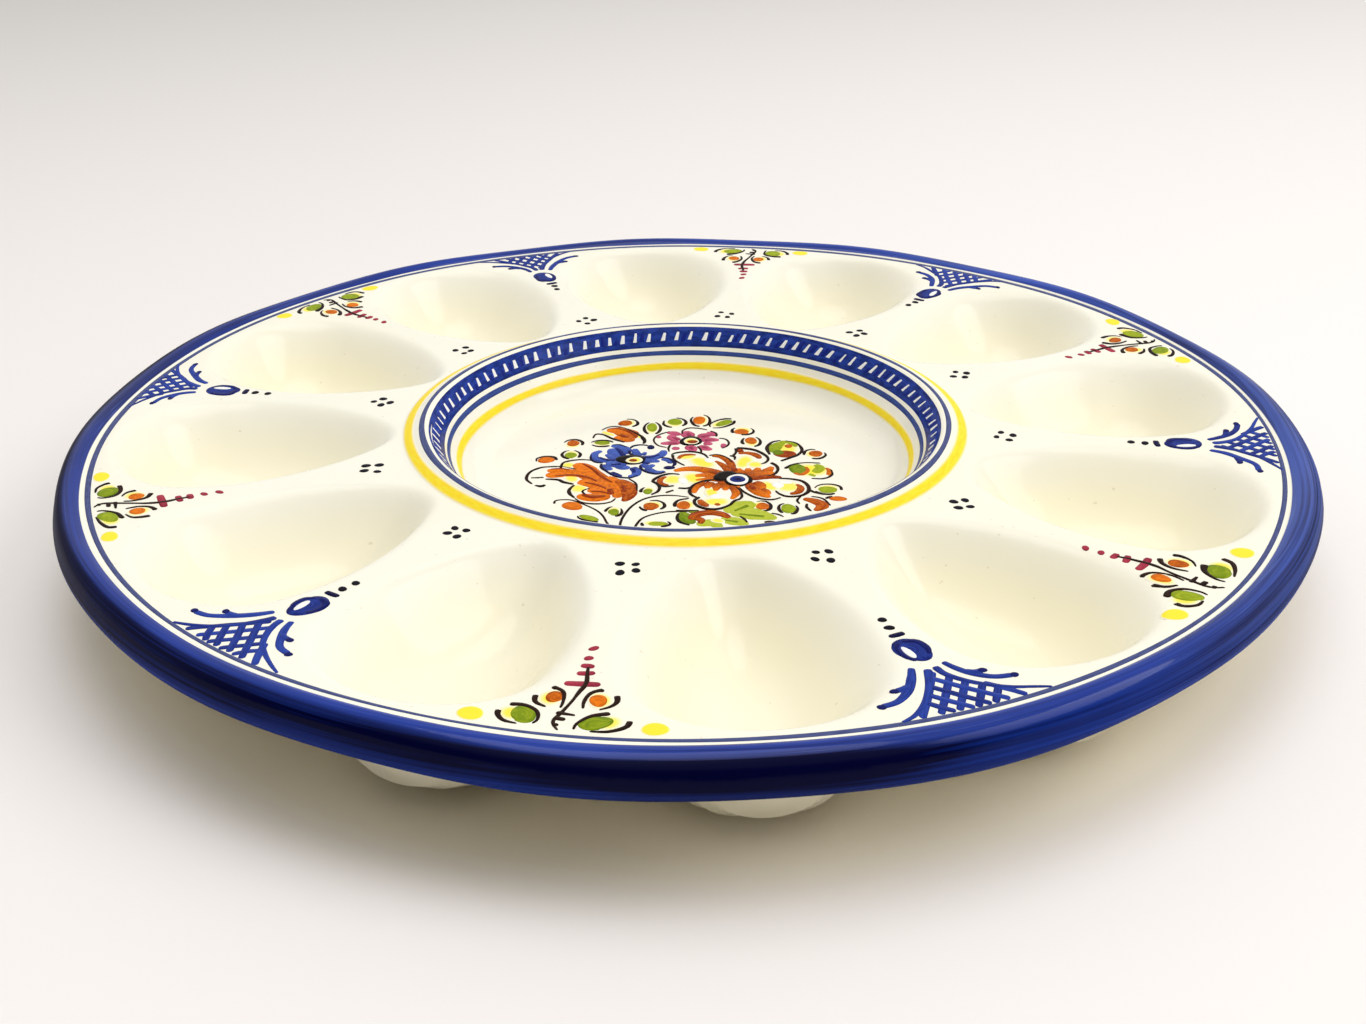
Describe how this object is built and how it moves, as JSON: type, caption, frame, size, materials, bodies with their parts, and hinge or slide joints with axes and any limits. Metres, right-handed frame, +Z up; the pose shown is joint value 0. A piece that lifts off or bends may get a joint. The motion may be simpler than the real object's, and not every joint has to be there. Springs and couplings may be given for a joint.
{
  "type": "deviled egg platter",
  "caption": "Round glazed earthenware serving plate with a ring of egg-shaped wells round a shallow dip bowl, on a foot ring.",
  "frame": {"origin": "centre of the foot ring's standing face, on the table", "axes": "+Z up along the plate's axis; +X and +Y run along ridges between two wells"},
  "size_m": [0.3249, 0.325, 0.032],
  "materials": {
    "cream_glaze": "glossy cream tin glaze",
    "cobalt_rim": "glossy brushed cobalt glaze",
    "line_blue": "glossy brushed blue line",
    "dark_blue": "glossy dark cobalt",
    "band_yellow": "glossy yellow glaze",
    "bare_clay": "unglazed fired earthenware on the standing face"
  },
  "bodies": {
    "root": {"rim": "cobalt_rim", "deck": "cream_glaze", "bowl_wall": "cream_glaze", "bowl_floor": "cream_glaze", "foot_ring": "bare_clay", "egg_well_01": "cream_glaze", "egg_well_02": "cream_glaze", "egg_well_03": "cream_glaze", "egg_well_04": "cream_glaze", "egg_well_05": "cream_glaze", "egg_well_06": "cream_glaze", "egg_well_07": "cream_glaze", "egg_well_08": "cream_glaze", "egg_well_09": "cream_glaze", "egg_well_10": "cream_glaze", "egg_well_11": "cream_glaze", "egg_well_12": "cream_glaze", "rim_line": "line_blue", "yellow_band": "band_yellow", "lip_line": "line_blue", "tick_band": "dark_blue", "wall_line": "line_blue", "low_yellow_line": "band_yellow"}
  },
  "joints": []
}
